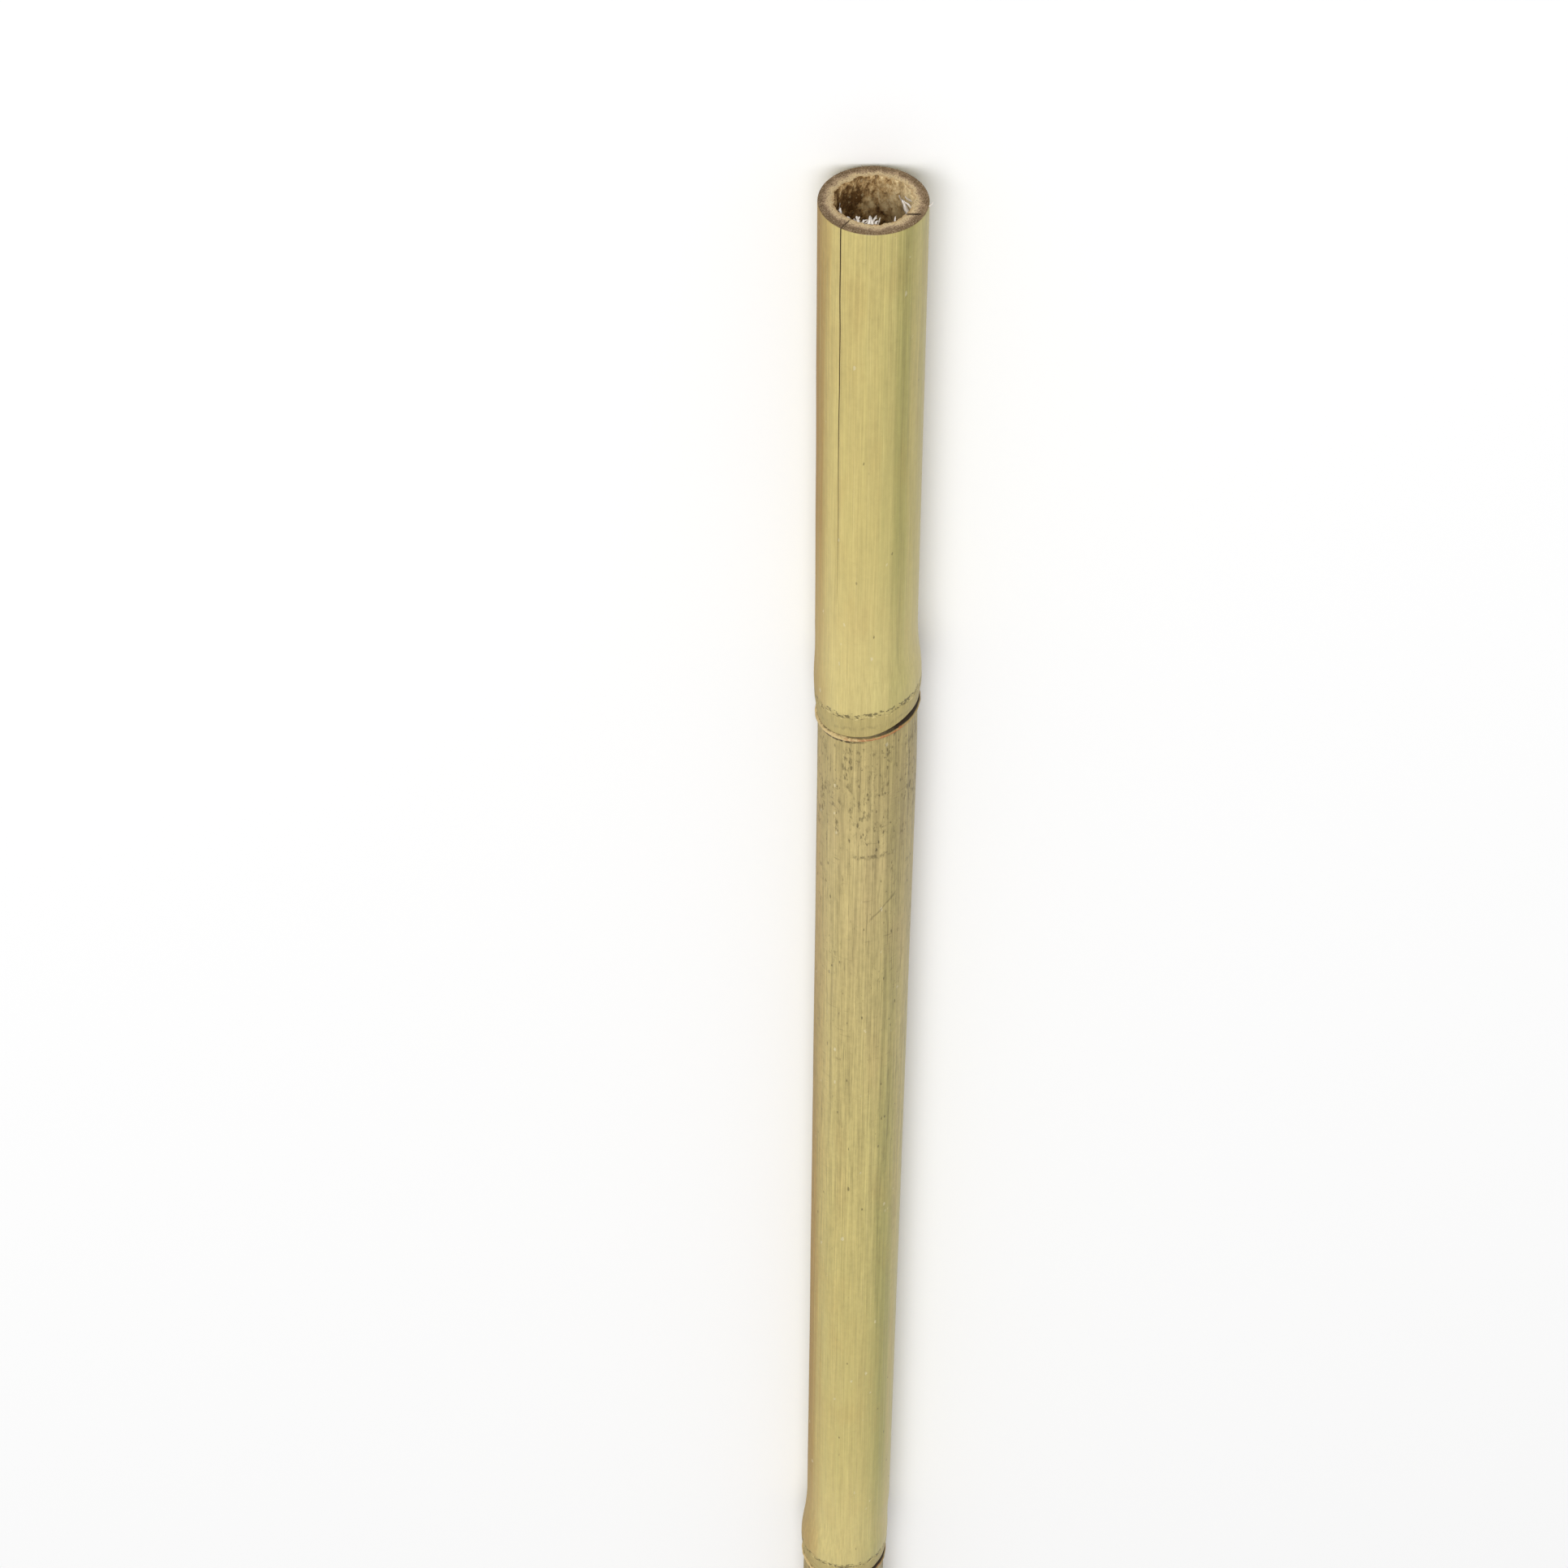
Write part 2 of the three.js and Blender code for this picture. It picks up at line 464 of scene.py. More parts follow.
    def scrapes(self):
        """One scuff across the grain and one slanting scratch below the first scar."""
        past, side, step, band = self.past, self.side, self.step, self.band
        mottle = self.mottle - 0.5
        first = (self.joint < 1.5) * (self.joint > 1.0)
        scuff = band(past + mottle * 4.5 - side * 0.8, SCUFF_AT, 0.2, 0.8)
        scuff = scuff * band(side, -0.22, 0.3, 0.2)
        scratch = band(past - side * SCRATCH_SLANT + mottle * 2.5, SCRATCH_AT, 0.1, 0.55)
        scratch = scratch * band(side, -0.44, 0.2, 0.1)
        marks = scuff * step(self.mottle, 0.40, 0.55) + scratch * 0.7
        self.lay(marks * first * step(self.top, -0.1, 0.1) * 0.6, self.colours.speck)

    def scar(self):
        """A speckled line, a grey-green band, a groove of dirt and painted shadow, the ragged
        brown lip.
        """
        past, side, step, band = self.past, self.side, self.step, self.band
        colours, speckle, mottle = self.colours, self.speckle, self.mottle
        wander = (self.grain(900, 2.2, 3.0, 0.6, 1.9) - 0.5) * 2.0
        near = past + wander
        upper, lower = BAND_EDGES
        ring_band = step(near, *upper) * step(past, *lower)
        self.lay(ring_band * 0.70, colours.band)
        speckled = band(near, SPECKLED_LINE_AT, 0.50, 0.6) * step(speckle, 0.52, 0.59)
        self.lay(speckled * 0.75, colours.speck)
        gaps = band(near, PALE_LINE_AT, 0.3, 0.4) * step(speckle, 0.47, 0.36)
        self.lay(gaps * 0.6, colours.pale)
        faint = band(near + wander * 0.5, FAINT_LINE_AT, 0.1, 0.7)
        self.lay(faint * step(mottle, 0.4, 0.65) * 0.28, colours.speck)

        # The groove's dark is partly dirt and partly painted shadow, widest towards -Y.
        thick = step(side, 0.0, -0.95)
        half_groove = 0.07 + thick * 0.68
        groove = band(past + 0.42 + half_groove, 0.0, half_groove, 0.26)
        self.lay(groove * (0.55 + speckle * 0.35 + thick * 0.4), colours.groove)
        paler = step(side + (speckle - 0.5) * 2.0 + (mottle - 0.5), -0.10, 0.55)
        lip_half = 0.16 + step(side, -0.3, 0.6) * 0.18 + (speckle - 0.5) * 0.16
        ragged = band(past + (speckle - 0.5) * 0.45, 0.02, lip_half, 0.22)
        ragged = ragged * (0.50 + mottle * 0.8) * (0.35 + step(side, -0.95, -0.65) * 0.65)
        self.lay(ragged, self.mix(paler, colours.lip, colours.lip_pale))
        # Painted shadow: a dark line just below the lip, strongest towards +Y.
        lip_shadow = band(past, LIP_SHADOW_AT, 0.16, 0.26) * (0.10 + step(side, -0.2, 0.3) * 0.80)
        self.lay(lip_shadow * step(speckle, 0.32, 0.5), colours.groove)
        return ring_band, speckled

    def fibres(self):
        """Light and dark fibres, and painted shade inside the split."""
        step, mottle = self.step, self.mottle - 0.5
        contrast = 1.0 + step(self.grown, 0.78, 0.40) * 0.95
        shading = (self.fine - 0.5) * 0.42 + (self.medium - 0.5) * 0.34 + mottle * 0.20
        strength = 0.90 + shading * contrast
        strength = strength + (self.broad - 0.5) * 0.14 + (self.cloud - 0.5) * 0.12
        strength = strength - self.band(self.grown, 0.55, 0.10, 0.20) * 0.035
        strength = strength - step(self.grown, 0.30, 0.05) * step(self.side, 0.2, -0.7) * 0.07
        self.shade(strength - self.newest * 0.03)
        # Painted shade in the split's sunken valley, where the wall number is above 0 on the skin.
        self.lay(step(self.attribute('wall'), 0.0, 0.04), self.colours.split)


def rind_finish(colours):
    sheet = RindSheet(colours)
    sheet.ground()
    sheet.age()
    specks, smudged = sheet.specks()
    sheet.scrapes()
    ring_band, speckled = sheet.scar()
    sheet.fibres()
    rough = 0.42 + (sheet.fine - 0.5) * 0.16 + sheet.young * 0.06
    rough = rough + (ring_band + smudged) * 0.10 + sheet.step(sheet.side, 0.5, 0.95) * 0.25
    height = sheet.fine * 0.5 + sheet.medium * 0.9 + sheet.cloud * 1.2 + sheet.mottle * 0.35
    return sheet.finish(rough, height - specks * 0.4 - speckled, 0.07 * MM, 0.32)


def sawn_finish(colours):
    """A sawn end: a dark fibrous outer band, and a cream inner ring with fibre bundles."""
    sheet = MaterialSheet('cane_sawn_end')
    lay, step, band = sheet.lay, sheet.step, sheet.band
    wall = sheet.attribute('wall')
    along = sheet.attribute('along') / MM
    blotch = sheet.grain(3.0, 2.2, 4.0, 0.62, 2.4)
    grit = sheet.grain(0.4, 0.30, 3.0, 0.65, 6.1)
    depth = wall + (blotch - 0.5) * 0.85 + (grit - 0.5) * 0.55
    sheet.colour = sheet.mix(step(depth, 0.28, 0.58), colours.sawn_rim, colours.sawn_middle)
    lay(step(depth, 0.50, 0.76), colours.sawn_core)
    lay(step(depth, 0.84, 1.0) * 0.75, colours.bore)
    lay(step(blotch, 0.52, 0.64) * 0.35, colours.sawn_middle)
    bundle_gap, bundle_chance = sheet.scatter(30, 0.55, 1.7)
    bundles = step(bundle_gap, 0.44, 0.16) * (bundle_chance < 0.7)
    lay(bundles * step(wall, 0.95, 0.45) * 0.50, colours.sawn_bundle)
    lay(step(grit, 0.54, 0.68) * step(wall, 0.7, 0.2) * 0.75, colours.sawn_fuzz)
    lay(step(grit, 0.46, 0.32) * 0.70, colours.sawn_bundle)
    lay(step(wall, 0.14, 0.02) * 0.30, colours.sawn_bundle)
    # Painted shade: the face is darker towards +Y.
    sheet.shade(0.62 + blotch * 0.42 + grit * 0.34 - step(sheet.y, 2 * MM, 9 * MM) * 0.10)

    # The split across the upper end and a short slit beside it, both painted dark as shade
    at_upper = sheet.x > 0.0
    from_split = sheet.attribute('turn') - SPLIT_TURN + (grit - 0.5) * 0.03
    crack_shade = band(from_split, 0.0, 0.010, 0.012) * step(wall, 1.0, 0.7) * at_upper
    split = sheet.math('MAXIMUM', step(along, 0.55, 0.9) * (along < 5.0), crack_shade * 0.85)
    y, z = sheet.y / MM, sheet.z / MM
    slit = band(z - y * 0.06 + (blotch - 0.5) * 0.8, SLIT_HEIGHT, 0.10, 0.22)
    slit = slit * band(y, SLIT_ACROSS, SLIT_HALF_RUN, 0.5) * at_upper
    lay(sheet.math('MAXIMUM', split, slit * 0.9), colours.split)
    return sheet.finish(0.85, grit + bundles * 0.5 - slit * 3, 0.15 * MM, 0.2)


def lining_finish(colours):
    """The bore's torn brown lining: painted light where it stands out, painted shade in its pits.
    """
    sheet = MaterialSheet('cane_bore_lining')
    lay, step = sheet.lay, sheet.step
    patch = sheet.grain(3.6, 2.6, 4.0, 0.62, 3.3)
    shreds = sheet.grain(1.6, 1.1, 4.0, 0.66, 7.2)
    from_end = (CAD_HIGH.x - abs(sheet.x)) / MM
    pitted = step(from_end, 8.0, 1.0) * step(sheet.z, 11 * MM, 5 * MM)
    # Painted light and shade on the torn wall, mixed with random patches: -Y lit, +Y shaded.
    relief_and_shading = sheet.attribute('torn') * 0.30 + patch * 0.36 + shreds * 0.34
    relief_and_shading = relief_and_shading + sheet.y / (TOP_BORE * MM) * 0.075 + pitted * 0.045
    sheet.colour = sheet.mix(step(relief_and_shading, 0.54, 0.43), colours.bore, colours.lining_pale_and_lit)
    lay(step(relief_and_shading, 0.51, 0.59) * 0.95, colours.lining_dark_and_shaded)
    lay(step(shreds, 0.56, 0.68) * 0.40, colours.lining_pale_and_lit)
    # Painted light on the -Y wall.
    lay(step(sheet.y, -3.5 * MM, -7.5 * MM) * 0.45, colours.lining_pale_and_lit)
    return sheet.finish(0.9, shreds * 1.5 + patch, 0.4 * MM, 0.2)


def torn_finish(name, dull, light):
    """Dry pith or torn fibre, from the duller colour to the lighter one."""
    sheet = MaterialSheet(name)
    fibre = sheet.grain(0.8, 0.3, 3.0, 0.6, 1.1)
    sheet.colour = sheet.mix(sheet.step(fibre, 0.35, 0.7), dull, light)
    return sheet.finish(0.85, fibre, 0.05 * MM, 0.25)


# The cane


def skin_places(length):
    """Ring places down the skin: close together at the scars and far apart elsewhere."""
    places = []
    along = EDGE_WEAR
    while along < length - EDGE_WEAR:
        places.append(along)
        near = min(abs(along - scar) for scar in SCARS)
        gap = next(gap for reach, gap in RING_GAPS if near < reach)
        gap = min(gap, max(END_RING_GAP, END_GAP_GROWTH * min(along, length - along)))
        if along < SCARS[0]:
            gap = min(gap, SPLIT_RING_GAP)
        along += gap
    return places


def end_rings(floor):
    """Rings of one open end, from the middle of its diaphragm out to the rim.
    Each is a depth from the mouth, a wall number and the region of the band up to the next.
    The wall number is 0 at the skin, 1 at the bore and 2 at the cane's middle."""
    rings = []
    for out in np.linspace(0.0, 1.0, DIAPHRAGM_RINGS, endpoint=False):
        into_fillet = max(out * TOP_BORE - (TOP_BORE - DIAPHRAGM_FILLET), 0.0)
        lift = DIAPHRAGM_FILLET - math.sqrt(DIAPHRAGM_FILLET**2 - into_fillet**2)
        rings.append((floor - lift, 2.0 - out, LINING))
    far = np.arange(floor - DIAPHRAGM_FILLET, RAGGED_DEPTH, -BORE_RING_GAP)
    near = np.arange(RAGGED_DEPTH, EDGE_WEAR, -TORN_RING_GAP)
    rings += [(depth, 1.0, LINING) for depth in (*far, *near)]
    rings += [(0.0, wall, SAWN) for wall in np.linspace(1.0, SAWN_OUTMOST, SAWN_RINGS)]
    return [*rings, *WORN_RINGS]


def cane_rings(length):
    """Every ring of the cane, from the upper diaphragm over the skin to the butt's."""
    upper = end_rings(SCARS[0] - RIDGE_ABOVE_SCAR / 2 - DIAPHRAGM_HALF)
    butt = end_rings(length - (SCARS[-1] - RIDGE_ABOVE_SCAR / 2 + DIAPHRAGM_HALF))
    skin = [(along, 0.0, SKIN) for along in skin_places(length)]
    turned = [(length - depth, wall) for depth, wall, _ in reversed(butt)]
    regions = [region for _, _, region in reversed(butt)][1:] + [LINING]
    return upper + skin + [(*ring, region) for ring, region in zip(turned, regions)]


def column_turns():
    """Column turns round the cane, and each one's offset from the split where it is near it."""
    clear = SPLIT_COLUMNS[-1] / SPLIT_RADIUS + COLUMN_GAP
    plain = np.linspace(-math.pi, math.pi, COLUMNS, endpoint=False)
    columns = [(turn, None) for turn in plain[np.abs(plain - SPLIT_TURN) > clear]]
    columns += [(SPLIT_TURN, offset) for offset in SPLIT_COLUMNS]
    return sorted(columns, key=lambda column: column[0] + (column[1] or 0.0) / SPLIT_RADIUS)


def lean_at(along):
    """How much each ring slants: fully at a scar and its ridge, and less further off."""
    lean = np.zeros_like(along)
    for scar, most in zip(SCARS, LEANS):
        lean += most * np.maximum(1 - ((along - scar) / LEAN_REACH) ** 2, 0)
    return lean


def joint_count(along):
    """A count that is 1 at the first scar, 2 at the next and so on, and even near each."""
    reach = JOINT_REACH / JOINT_SPACING
    places, counts = [SCARS[0] - JOINT_SPACING], [0.0]
    for number, scar in enumerate(SCARS, 1):
        places += [scar - JOINT_REACH, scar + JOINT_REACH]
        counts += [number - reach, number + reach]
    places.append(SCARS[-1] + JOINT_SPACING)
    counts.append(len(SCARS) + 1.0)
    return np.interp(along, places, counts)


class CaneGrid:
    """Rings and columns of points that have no shape yet and only know where they belong.
    The first ring and the last one are a single point."""

    def __init__(self, length, split_length):
        self.length = length
        self.rings = cane_rings(length)
        self.columns = column_turns()
        self.ring_count, self.column_count = len(self.rings), len(self.columns)
        self.ring_along = np.array([ring[0] for ring in self.rings])
        self.ring_wall = np.array([ring[1] for ring in self.rings])
        self.along = np.repeat(self.ring_along[:, None], self.column_count, 1)
        self.wall = np.repeat(self.ring_wall[:, None], self.column_count, 1)
        turns = np.array([turn for turn, _ in self.columns])
        self.turn = np.repeat(turns[None, :], self.ring_count, 0)
        self.open_split(split_length)

    def open_split(self, split_length):
        """Sets the split's edges apart and sinks the column between them into the wall."""
        run_out = split_length + SPLIT_RUN_OUT
        split = (self.ring_along < run_out) & (self.ring_wall < 1.0)
        along = self.ring_along
        waves = sum(np.sin(along / run + start) * reach for run, start, reach in SPLIT_WAVES)
        wander = np.where(split, waves * np.clip(1 - along / run_out, 0, 1), 0)
        places = (0, split_length, run_out)
        half = np.interp(along, places, (*SPLIT_HALF_WIDTH, SPLIT_EDGE))
        for number, (_, offset) in enumerate(self.columns):
            if offset is None:
                continue
            shift = np.full(self.ring_count, offset)
            if abs(offset) == SPLIT_EDGE:
                shift = np.where(split, math.copysign(1, offset) * half, shift)
            shift = shift + wander * (1 - abs(offset) / SPLIT_WAVES_REACH)
            self.turn[:, number] += shift / SPLIT_RADIUS
            if offset == 0.0:
                self.sink_column(number, split, split_length)

    def sink_column(self, number, split, split_length):
        shallow, deep = SPLIT_FACE_DEPTH
        face = split & (self.ring_wall > 0)
        self.along[face, number] = shallow + (deep - shallow) * (1 - self.ring_wall[face])
        self.wall[face, number] = SPLIT_WALL
        skin = split & (self.ring_wall == 0) & (self.ring_along < split_length)
        left = 1 - self.ring_along[skin] / split_length
        self.along[skin, number] = deep * left + self.ring_along[skin]
        self.wall[skin, number] = SPLIT_WALL * left**0.7

    def facts(self):
        """What each point knows: its place, and its share in every rule of the shape."""
        scars = np.array(SCARS)
        nearest = scars[np.abs(self.along[..., None] - scars).argmin(-1)]
        return {
            'along': self.along * MM,
            'wall': self.wall,
            'turn': self.turn,
            'past_scar': (self.along - nearest) * MM,
            'joint': joint_count(self.along),
            'drift': np.interp(self.along, DRIFT_AT, DRIFT_BY) * MM,
            'lean': lean_at(self.along),
        }

    def listed(self, values):
        """Values of the grid in the order of the mesh's points."""
        return np.concatenate([values[0, :1], values[1:-1].ravel(), values[-1, :1]])

    def point(self, ring, column):
        """The number of a point in the mesh."""
        if ring == 0:
            return 0
        place_round = 0 if ring == self.ring_count - 1 else column % self.column_count
        return 1 + (ring - 1) * self.column_count + place_round

    def faces(self):
        """Each face's corners as rings and columns, its region, and the middle of its band."""
        last = self.ring_count - 2
        for ring in range(last + 1):
            region = self.rings[ring][2]
            if self.ring_wall[ring:ring + 2].max() > 1.0:
                region = DIAPHRAGM
            middle = (self.ring_along[ring] + self.ring_along[ring + 1]) / 2
            for column in range(self.column_count):
                near = [(ring, column), (ring, column + 1)]
                far = [(ring + 1, column + 1), (ring + 1, column)]
                if ring == 0:
                    near.pop()
                if ring == last:
                    far.pop(0)
                yield near + far, region, middle

    def spot(self, ring, column):
        """A corner's place along the cane and wall number, as its whole ring has, and its turn."""
        turn = self.turn[ring, column % self.column_count]
        turn += math.tau if column == self.column_count else 0
        return self.ring_along[ring], self.ring_wall[ring], turn


def cane_blank(length, split_length):
    """The mesh that the shape's rule works on. All its points start at the origin."""
    grid = CaneGrid(length, split_length)
    sheets = BakeSheets(length)
    faces, regions, corners = [], [], []
    for places, region, middle in grid.faces():
        faces.append([grid.point(*place) for place in places])
        regions.append(min(region, LINING))
        corners += [sheets.place(region, middle, *grid.spot(*place)) for place in places]

    mesh = bpy.data.meshes.new('cane')
    count = grid.point(grid.ring_count - 1, 0) + 1
    mesh.from_pydata(np.zeros((count, 3)).tolist(), [], faces)
    for name, values in grid.facts().items():
        store = mesh.attributes.new(name, 'FLOAT', 'POINT')
        store.data.foreach_set('value', grid.listed(values).astype(np.float32))
    store = mesh.attributes.new('region', 'FLOAT', 'FACE')
    store.data.foreach_set('value', np.array(regions, np.float32))
    layer = mesh.uv_layers.new(name='OFBake')
    layer.uv.foreach_set('vector', np.array(corners, np.float32).ravel())
    return mesh


class BakeSheets:
    """Lays the surface out flat in a square of so many millimetres, for textures to be baked on.
    The skin is cut at the scars into strips. The bores are strips too, and the sawn faces and
    the diaphragms are discs. Pairs are for the upper end and the butt."""

    SIDE = 346.0
    ROW = 74.0
    SKIN_CORNERS = ((0, 3 * ROW), (0, 0), (0, ROW), (0, 2 * ROW), (143, 3 * ROW))
    BORE_CORNERS = ((0, 4 * ROW), (136, 4 * ROW))
    SAWN_CENTRES = ((246, 3 * ROW + 25), (296, 3 * ROW + 25))
    SAWN_SCALE = 2.0
    DIAPHRAGM_CENTRES = ((240, 4 * ROW + 20), (262, 4 * ROW + 20))

    def __init__(self, length):
        self.length = length
        self.joins = (0.0, *SCARS, length)

    def place(self, region, middle, along, wall, turn):
        """Where a corner of a face lies in the square, from 0 to 1."""
        end = 0 if middle < self.length / 2 else 1
        if region == SKIN:
            row = next(i for i, stop in enumerate(self.joins[1:]) if middle < stop)
            along = along - self.joins[row]
            spot = self.strip(self.SKIN_CORNERS[row], along, BUTT_RADIUS, turn)
        elif region == LINING:
            depth = self.length - along if end else along
            spot = self.strip(self.BORE_CORNERS[end], depth, TOP_BORE, turn)
        elif region == SAWN:
            radius = BUTT_RADIUS - (BUTT_RADIUS - TOP_BORE) * wall
            spot = self.disc(self.SAWN_CENTRES[end], radius * self.SAWN_SCALE, turn)
        else:
            spot = self.disc(self.DIAPHRAGM_CENTRES[end], TOP_BORE * (2.0 - wall), turn)
        return spot[0] / self.SIDE, spot[1] / self.SIDE

    def strip(self, corner, along, radius, turn):
        return corner[0] + along, corner[1] + (math.pi - turn) * radius

    def disc(self, centre, radius, turn):
        return centre[0] + radius * math.cos(turn), centre[1] - radius * math.sin(turn)


def cane_shape():
    """The rule that gives the blank its shape: taper, ridges, lips, grooves and open ends."""
    numbers = (
        'Length', 'Top radius', 'Butt radius', 'Ridge rise', 'Lip rise', 'Groove depth',
        'Top bore', 'Butt bore', 'Lumpiness', 'Saw marks', 'Raggedness', 'Seed',
    )
    inputs = {label: 'Float' for label in numbers}
    inputs |= {label: 'Material' for label in ('Rind', 'Sawn end', 'Lining')}
    sheet = ShapeSheet('cane_shape', inputs)
    number, step = sheet.number, sheet.step
    along, wall, turn = (sheet.attribute(name) for name in ('along', 'wall', 'turn'))
    past, drift, lean = (sheet.attribute(name) for name in ('past_scar', 'drift', 'lean'))
    across = sheet.math('SINE', turn)
    up = sheet.math('COSINE', turn)
    seeded = sheet.vector('ADD', sheet.point(along, across, up), number('Seed'))

    # The skin: its taper, the ridge, the lip and the groove of each joint, and the waist below
    taper = along / number('Length')
    plain = number('Top radius') + (number('Butt radius') - number('Top radius')) * taper
    crest = past + RIDGE_ABOVE_SCAR * MM
    from_flat = sheet.math('MAXIMUM', abs(crest) - RIDGE_FLAT * MM, 0.0)
    spread = RIDGE_SPREAD_DOWN * MM + (crest < 0.0) * ((RIDGE_SPREAD_UP - RIDGE_SPREAD_DOWN) * MM)
    slope = from_flat / spread
    ridge = number('Ridge rise') * sheet.math('EXPONENT', -(slope * slope))
    uneven = sheet.noise(seeded, (0.02, 0.16, 0.16), 3.0, 0.6)
    lip = sheet.band(past, 0.0, LIP_HALF * MM, LIP_SOFT * MM) * (0.45 + uneven * 1.1)
    half_groove = (GROOVE_HALF + step(across, 0.0, -0.95) * GROOVE_WIDENING) * MM
    from_groove = abs(past + (half_groove + GROOVE_ABOVE_SCAR * MM))
    groove = step(from_groove, half_groove + GROOVE_SOFT * MM, half_groove)
    below = past - LIP_EDGE * MM
    waist = (below > 0.0) * step(below, WAIST_LENGTH * MM, 0.0) * (WAIST_DEPTH * MM)
    lumps = sheet.noise(seeded, (0.03, 0.8, 0.8), 2.0, 0.5) - 0.5
    skin = plain + ridge + number('Lip rise') * lip - number('Groove depth') * groove - waist
    skin = skin + lumps * number('Lumpiness')

    # The bore, torn near its mouth, and the wall and the diaphragm between it and the middle
    in_wall = sheet.math('MINIMUM', wall, 1.0)
    in_floor = sheet.math('MAXIMUM', wall - 1.0, 0.0)
    from_mouth = sheet.math('MINIMUM', along, number('Length') - along)
    torn = step(from_mouth, RAGGED_DEPTH * MM, 6 * MM) * 0.7 + 0.3
    shreds = sheet.noise(seeded, (0.0032, 0.24, 0.24), 4.0, 0.66)
    bore = number('Top bore') + (number('Butt bore') - number('Top bore')) * taper
    bore = bore + (shreds - 0.5) * torn * number('Raggedness')
    radius = (skin + (bore - skin) * in_wall) * (1.0 - in_floor)

    # The strokes of the saw, and every point's place
    sawn = step(wall, 0.0, 0.06) * step(wall, 1.0, 0.94) * (from_mouth < 0.05 * MM)
    stroke_place = sheet.point(across * radius, up * radius)
    strokes = sheet.noise(stroke_place, (0.35 * MM, 1.6 * MM, 1.0), 3.0, 0.6, 2.0)
    x = number('Length') * 0.5 - along - lean * across * radius
    x = x + (strokes - 0.5) * sawn * number('Saw marks')
    position = sheet.point(x, across * radius + drift, up * radius + plain + number('Ridge rise'))
    feeds = {'Geometry': sheet.given['Geometry'], 'Position': position}
    shaped = sheet.add('GeometryNodeSetPosition', None, feeds).outputs[0]
    feeds = {'Geometry': shaped, 'Name': 'torn', 'Value': shreds}
    noted = sheet.add('GeometryNodeStoreNamedAttribute', {'data_type': 'FLOAT'}, feeds).outputs[0]
    smooth = sheet.add('GeometryNodeSetShadeSmooth', None, {0: noted}).outputs[0]
    region = sheet.attribute('region')
    sheet.finish(smooth, (
        (sheet.given['Rind'], None),
        (sheet.given['Sawn end'], sheet.math('COMPARE', region, SAWN, 0.5)),
        (sheet.given['Lining'], sheet.math('COMPARE', region, LINING, 0.5)),
    ))
    return sheet


def size(label, description, default, **limits):
    """A size in metres that a user would change."""
    return FloatProperty(
        name=label, description=description, default=default, unit='LENGTH', **limits
    )


class CaneSizes(bpy.types.PropertyGroup):
    """Sizes of the cane that a user would change."""

    length: size("Length", "From one sawn end to the other", CAD_HIGH.x - CAD_LOW.x, min=0.5)
    top_radius: size("Top radius", "Radius of the plain skin at the upper end", TOP_RADIUS * MM)
    butt_radius: size("Butt radius", "Radius of the plain skin at the butt", BUTT_RADIUS * MM)
    ridge_rise: size("Ridge rise", "Height of a joint's ridge above the skin", RIDGE_RISE * MM)
    lip_rise: size("Lip rise", "Height of a scar's lip above the skin", 0.45 * MM)
    groove_depth: size("Groove depth", "Depth of the dark groove above the lip", 0.35 * MM)
    top_bore: size("Top bore", "Radius of the bore at the upper end", TOP_BORE * MM)
    butt_bore: size("Butt bore", "Radius of the bore at the butt", BUTT_BORE * MM)
    split_length: size("Split length", "Length of the split from the upper end", 100 * MM)
    seed: IntProperty(name="Seed", description="Changes the lumps and the tearing", default=7)


def paint(label, description, *channels):
    """A colour that a user would change."""
    return FloatVectorProperty(
        name=label, description=description, subtype='COLOR', size=3, min=0.0, max=1.0,
        default=tone(*channels),
    )


class CaneColours(bpy.types.PropertyGroup):
    """Colours of the cane."""

    straw: paint("Straw", "The skin's yellow side", 213, 194, 124)
    green: paint("Green", "The skin's green side", 185, 174, 110)
    stripe: paint("Stripe", "The green stripe along one side", 152, 150, 86)
    # Browner tan: painted shade along the +Y edge of the skin, and random tan blotches.
    tan_and_edge_shade: paint("Warm edge", "The browner tan along one edge", 168, 132, 72)
    pale: paint("Pale", "The paler skin above a joint", 230, 212, 150)
    dull: paint("Dull", "The greyer skin below a joint", 186, 166, 120)
    band: paint("Joint band", "The grey-green band above a scar", 178, 160, 102)
    speck: paint("Specks", "Dark specks and smudges", 88, 78, 48)
    # Dirt and painted shadow in the groove, and the painted shadow line below the lip.
    fleck: paint("Flecks", "Small pale flecks", 236, 226, 190)
    groove: paint("Groove", "The dark groove above the lip", 52, 38, 20)
    lip: paint("Lip", "The ragged lip of a scar", 178, 116, 68)
    lip_pale: paint("Pale lip", "Lighter places on the lip", 218, 192, 136)
    # Painted shade inside the split and along the cracks of the sawn face.
    split: paint("Split", "The inside of the drying split", 60, 44, 24)
    sawn_rim: paint("Sawn rim", "The outer band of a sawn end", 128, 105, 76)
    sawn_middle: paint("Sawn middle", "Between the rim and the core", 176, 150, 118)
    sawn_core: paint("Sawn core", "The inner ring of a sawn end", 212, 188, 144)
    sawn_bundle: paint("Bundles", "Fibre bundles on a sawn end", 90, 70, 48)
    sawn_fuzz: paint("Fuzz", "Pale torn fibre on a sawn end", 190, 169, 138)
    bore: paint("Bore", "The lining of the bore", 186, 153, 104)
    # Paler patches, and painted light on the -Y wall and where the torn lining stands out.
    lining_pale_and_lit: paint("Light lining", "Paler patches of the lining", 240, 217, 168)
    # Darker patches, and painted shade in the pits and towards +Y.
    lining_dark_and_shaded: paint("Dark lining", "Darker patches of the lining", 100, 70, 34)
    pith: paint("Pith", "Shreds of white pith", 240, 236, 232)
    pith_shade: paint("Pith shade", "The duller side of the pith", 214, 202, 184)


